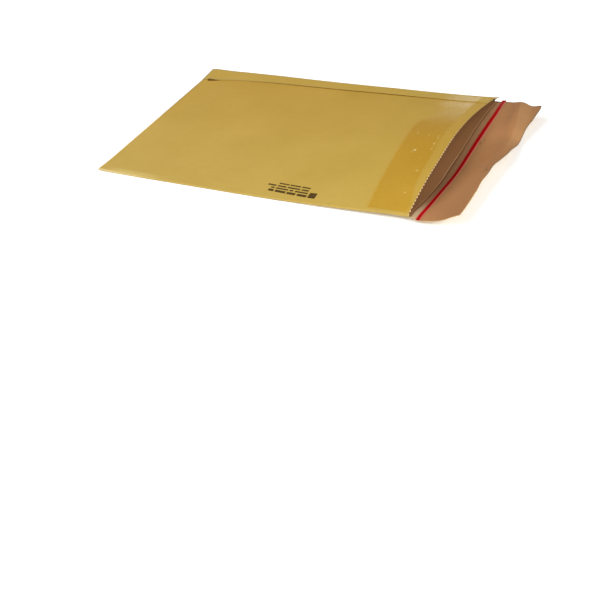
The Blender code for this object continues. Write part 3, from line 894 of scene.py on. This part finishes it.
def kraft_inside():
    g = Graph("brown_board_inside")
    mm = g.vector("MULTIPLY", g.uv("sheet"), (1000, 1000, 0))
    at = g.vector("MULTIPLY", g.uv("place"), (1000, 1000, 0))
    x, y = g.split(at)
    rim, crease = g.split(g.vector("MULTIPLY", g.uv("rim"), (1000, 1000, 0)))
    streak, hair, cross, mottle, cloud = fibres(g, g.vector("ADD", mm, (57, 913, 0)))
    colour = g.mix(g.ramp(cloud, 0.3, 0.7), BROWN_LOW, BROWN_HIGH)
    tone = g.math("ADD", g.math("MULTIPLY", streak, 0.10), g.math("MULTIPLY", hair, 0.08))
    tone = g.math("ADD", tone, g.math("MULTIPLY", cross, 0.06))
    tone = g.math("ADD", tone, g.math("MULTIPLY", mottle, 0.08))
    tone = g.math("ADD", tone, 1.0 - 0.16)
    colour = g.scale_colour(colour, tone)
    # the flap is a little paler on the near half; past the ridge of the far half the slope is painted lighter, a
    # painted highlight with a sharp edge at the ridge
    past = g.math("ADD", x, 1000.0 - CREASE)
    colour = g.mix(g.math("MULTIPLY", g.step(past, 9, 16), g.step(y, -75, 30, 1.0, 0.0)), colour,
                   g.scale_colour(colour, 1.12))
    ridge = g.math("ADD", g.ramp(y, 77, 127, 40.1, 29.0), g.ramp(y, 31, 77, 3.0, 0.0))
    off = g.math("SUBTRACT", past, ridge)
    zone = g.math("MULTIPLY", g.step(off, -0.8, 0.9), g.step(off, 9.0, 19.0, 1.0, 0.35))
    zone = g.math("MULTIPLY", zone, g.step(y, 5, 50))
    warmer = g.mix(1.0, g.scale_colour(colour, 1.28), (0.86, 0.95, 1.0), "MULTIPLY")
    colour = g.mix(g.math("MULTIPLY", zone, 0.85), colour, warmer)
    # between the crease and the tape the board is dull and greyer; near the near edge it is painted pale, a
    # painted sheen
    dull = g.math("MULTIPLY", g.step(crease, 0.8, 2.2), g.step(past, 8.0, 9.0, 1.0, 0.0))
    colour = g.mix(g.math("MULTIPLY", dull, 0.8), colour, g.mix(1.0, g.scale_colour(colour, 1.40), (0.715, 0.785, 0.96), "MULTIPLY"))
    colour = g.mix(g.math("MULTIPLY", dull, g.step(y, -118, -88, 0.55, 0.0)), colour, (0.50, 0.39, 0.24))
    # the score: a pale lip, rubbed and partly a painted highlight, a dark line of painted shade in the groove, and
    # a painted shade that fades out past it
    lip = g.step(g.math("ABSOLUTE", g.math("ADD", crease, 1.5)), 0.12, 0.46, 1.0, 0.0)
    lip = g.math("MULTIPLY", lip, g.ramp(hair, 0.3, 0.6, 0.45, 0.95))
    lip = g.math("MULTIPLY", lip, g.math("ADD", g.math("MULTIPLY", g.step(y, -70, -40, 0.08, 0.16), g.step(y, 10, 60, 1.0, 0.6)),
                                         g.math("MULTIPLY", g.step(y, -48, -34, 0.0, 0.32), g.step(y, 0, 18, 1.0, 0.0))))
    groove = g.step(g.math("ABSOLUTE", crease), 0.15, 0.60, 1.0, 0.0)
    shade = g.math("MULTIPLY", g.step(crease, 0.0, 4.5, 1.0, 0.0), g.step(crease, -0.4, 0.1))
    shade = g.math("MULTIPLY", shade, g.math("MULTIPLY", g.step(y, -95, -70), g.step(y, -15, 25, 0.30, 0.0)))
    colour = g.mix(shade, colour, (0.115, 0.075, 0.038))
    colour = g.mix(lip, colour, (0.60, 0.46, 0.26))
    colour = g.mix(g.math("MULTIPLY", groove, 0.78), colour, (0.085, 0.044, 0.018))
    # painted shade on the flap: soft dark patches just past the tape and a small dimple painted dark; then a broad
    # warmer patch
    marks = total(g, [spot(g, at, 372.6 - 1000, 32.0, 7.5, 3.8, 60), spot(g, at, 375.2 - 1000, 38.5, 3.6, 2.4, 50),
                      spot(g, at, 372.8 - 1000, -22.0, 4.5, 3.0), spot(g, at, 374.5 - 1000, -17.5, 2.6, 2.0)])
    colour = g.mix(g.math("MULTIPLY", marks, 0.42), colour, (0.12, 0.085, 0.036))
    dimple = total(g, [spot(g, at, 403.1 - 1000, -29.5, 4.4, 3.8), spot(g, at, 401.0 - 1000, -33.8, 2.4, 2.0)])
    colour = g.mix(g.math("MULTIPLY", dimple, 0.72), colour, (0.12, 0.085, 0.036))
    warm = spot(g, at, 389.0 - 1000, 2.0, 26.0, 14.0, 70)
    colour = g.mix(g.math("MULTIPLY", warm, 0.55), colour, g.mix(1.0, colour, (1.04, 0.93, 0.84), "MULTIPLY"))
    # the cut edges: rubbed pale on the near half, soiled on the far half
    edge = g.step(rim, 0.1, g.math("ADD", 0.45, g.math("MULTIPLY", hair, 0.5)), 1.0, 0.0)
    colour = g.mix(g.math("MULTIPLY", edge, g.step(y, -95, -60, 0.5, 0.0)), colour, (0.60, 0.41, 0.22))
    edge = g.step(rim, 0.4, g.math("ADD", 0.9, g.math("MULTIPLY", hair, 0.6)), 1.0, 0.0)
    colour = g.mix(g.math("MULTIPLY", edge, g.step(y, -75, -20, 0.0, 0.62)), colour, (0.13, 0.108, 0.062))
    colour = g.mix(g.step(y, 127.5, 129.3, 0.0, 0.66), colour, (0.115, 0.098, 0.055))
    rough = g.math("ADD", 0.62, g.math("MULTIPLY", hair, 0.12))
    height = g.math("ADD", g.math("MULTIPLY", hair, 0.5), g.math("MULTIPLY", cross, 0.4))
    g.relief(height, 0.00007)
    return g.finish(colour, rough, BROWN_LOW, specular=0.2)


def cut_edge():
    g = Graph("cut_board_edge")
    mm = g.vector("MULTIPLY", g.uv("sheet"), (1000, 1000, 0))
    n = g.noise(mm, 1.6, 3.0, 0.6)
    colour = g.mix(n, (0.44, 0.31, 0.14), (0.64, 0.49, 0.26))
    # the lap's free edge is stained along the seam, and painted dark as shade where it gapes in the slit near the
    # closed end
    x, y = g.split(g.vector("MULTIPLY", g.uv("place"), (1000, 1000, 0)))
    seam = g.split(g.vector("MULTIPLY", g.uv("rim"), (1000, 1000, 0)))[1]
    lap_side = g.math("MULTIPLY", g.step(g.math("ABSOLUTE", seam), 0.02, 0.12, 1.0, 0.0), g.step(x, -50, -40))
    # the mouth's cut edge is darker on its far half, with painted shade in the notches between the teeth
    mouth = g.math("MULTIPLY", g.step(x, 300, 320), g.ramp(y, -30, 40, 0.0, 0.85))
    notch = g.math("MULTIPLY", g.step(x, 300, 320), g.step(x, 354.7, 355.5, 0.85, 0.0))
    colour = g.mix(g.math("MAXIMUM", mouth, notch), colour, (0.28, 0.17, 0.048))
    seam_stain_and_shade = g.math("MULTIPLY", g.ramp(x, 42, 180, 0.0, 0.85), g.ramp(x, 270, 340, 1.0, 0.15))
    seam_stain_and_shade = g.math("MAXIMUM", seam_stain_and_shade, g.math("MULTIPLY", g.step(x, 6.2, 7.6), g.step(x, 16, 28, 1.0, 0.0)))
    stained_and_shaded = g.mix(seam_stain_and_shade, (0.435, 0.270, 0.045), (0.150, 0.056, 0.003))
    colour = g.mix(lap_side, colour, stained_and_shaded)
    # soiled along the far half of the flap
    soil = g.math("MULTIPLY", g.step(x, -645, -640), g.step(x, -560, -550, 1.0, 0.0))
    soil = g.math("MULTIPLY", soil, g.step(y, -75, -20, 0.0, 0.80))
    colour = g.mix(soil, colour, (0.13, 0.105, 0.060))
    g.relief(n, 0.00008)
    return g.finish(colour, 0.75, (0.55, 0.42, 0.22), specular=0.2)


def red_tape():
    g = Graph("red_film")
    mm = g.vector("MULTIPLY", g.uv("sheet"), (1000, 1000, 0))
    along, across = g.split(mm)
    n = g.noise(g.vector("MULTIPLY", mm, (0.25, 2.0, 1.0)), 1.0, 2.0)
    # the film is thinner and paler towards both rims, less so beside the crease
    outer = g.step(across, 1.20, 2.15)
    inner = g.math("MULTIPLY", g.step(g.math("SUBTRACT", 0.0, across), 1.45, 2.3),
                   g.step(along, -70, 40, 1.0, 0.35))
    colour = g.mix(n, (0.275, 0.0005, 0.0012), (0.34, 0.0008, 0.0020))
    # painted light: the film is painted lighter towards its near end
    colour = g.scale_colour(colour, g.ramp(along, -130, -40, 1.15, 1.0))
    colour = g.mix(g.math("MULTIPLY", g.math("MAXIMUM", outer, inner), 0.85), colour, (0.51, 0.155, 0.120))
    # painted shade: the proud tip past the flap's far edge is painted darker
    colour = g.scale_colour(colour, g.step(along, 129.6, 131.4, 1.0, 0.45))
    rough = g.math("ADD", 0.40, g.math("MULTIPLY", n, 0.14))
    g.relief(n, 0.00003)
    return g.finish(colour, rough, (0.40, 0.0015, 0.006), specular=0.08)


def floor_finish():
    g = Graph("pale_floor")
    n = g.noise(g.node("ShaderNodeTexCoord").outputs["Object"], 9.0, 2.0)
    colour = g.mix(n, (0.90, 0.90, 0.90), (0.92, 0.92, 0.92))
    g.shader.inputs["Emission Color"].default_value = (1.0, 1.0, 1.0, 1.0)
    g.shader.inputs["Emission Strength"].default_value = 0.22
    return g.finish(colour, 0.9, (0.91, 0.91, 0.91), specular=0.1)


# --- the pieces ----------------------------------------------------------------------------
board, backs, base = make_board()
ribbon = make_tape(board, backs, base)
low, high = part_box("mailer_body")
MIDDLE = min(p[0] for p in board.points) - low[0] / MM
shift = (MIDDLE, 0.0, 0.0)

gold, brown, edge, red = gold_face(), kraft_inside(), cut_edge(), red_tape()
mailer = bpy.data.objects.new("folded_board", board.build("folded_board", [gold, brown, edge], shift))
tape = bpy.data.objects.new("red_tear_tape", ribbon.build("red_tear_tape", [red, red, red], shift))
for piece, node, slot in ((mailer, "mailer_body", "golden_board"), (tape, "tear_tape", "red_tape")):
    bpy.context.scene.collection.objects.link(piece)
    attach(piece, "root")
    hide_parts(node)

# --- floor, light, camera --------------------------------------------------------------------
floor_mesh = bpy.data.meshes.new("floor")
s = 6.0
floor_mesh.from_pydata([(-s, -s, 0), (s, -s, 0), (s, s, 0), (-s, s, 0)], [], [(0, 1, 2, 3)])
floor_mesh.materials.append(floor_finish())
floor = bpy.data.objects.new("floor", floor_mesh)
floor.location.z = -0.0002
bpy.context.scene.collection.objects.link(floor)

world = bpy.data.worlds.new("studio")
bpy.context.scene.world = world
world.use_nodes = True
world.node_tree.nodes["Background"].inputs["Color"].default_value = (1.0, 1.0, 1.0, 1.0)
world.node_tree.nodes["Background"].inputs["Strength"].default_value = 0.10


def softbox(name, size_x, size_y, place, target, power, glossy=True):
    lamp = bpy.data.lights.new(name, "AREA")
    lamp.shape = "RECTANGLE"
    lamp.size, lamp.size_y = size_x, size_y
    lamp.energy = power
    obj = bpy.data.objects.new(name, lamp)
    obj.location = place
    aim = Vector(target) - Vector(place)
    obj.rotation_mode = "QUATERNION"
    obj.rotation_quaternion = aim.to_track_quat("-Z", "Y")
    obj.visible_glossy = glossy
    obj.visible_camera = False
    bpy.context.scene.collection.objects.link(obj)
    return obj


softbox("key", 0.9, 0.9, (-0.55, -1.15, 1.25), (0.0, 0.0, 0.0), 17.8)
softbox("front", 0.9, 0.9, (0.85, -1.35, 1.25), (0.0, 0.0, 0.0), 8.6)
softbox("right", 0.8, 0.8, (1.70, -0.35, 0.75), (0.0, 0.0, 0.0), 32.0)
softbox("left", 0.9, 0.9, (-1.50, 0.10, 1.30), (0.0, 0.0, 0.0), 19.6)
softbox("back_low", 1.6, 0.16, (-0.75, 1.70, 0.14), (0.12, 0.05, 0.02), 1.7).data.color = (1.0, 0.93, 0.82)

camera = bpy.data.cameras.new("camera")
camera.sensor_fit = "HORIZONTAL"
camera.sensor_width = 36.0
camera.lens = 36.0 * 1650.05 / 600.0
camera.clip_start, camera.clip_end = 0.05, 30.0
eye = bpy.data.objects.new("camera", camera)
azimuth, elevation, roll = radians(27.038), radians(32.029), radians(-4.246)
ahead = Vector((-sin(azimuth) * cos(elevation), cos(azimuth) * cos(elevation), -sin(elevation)))
side = ahead.cross(Vector((0, 0, 1))).normalized()
over = side.cross(ahead)
right = side * cos(roll) + over * sin(roll)
upward = over * cos(roll) - side * sin(roll)
aim = Vector((314.553 - MIDDLE, -299.066, 0.0)) * MM
where = aim - ahead * 1517.945 * MM
eye.matrix_world = Matrix((
    (right.x, upward.x, -ahead.x, where.x),
    (right.y, upward.y, -ahead.y, where.y),
    (right.z, upward.z, -ahead.z, where.z),
    (0, 0, 0, 1)))
bpy.context.scene.collection.objects.link(eye)
bpy.context.scene.camera = eye
bpy.context.scene.view_settings.view_transform = "Standard"
bpy.context.scene.view_settings.look = "None"
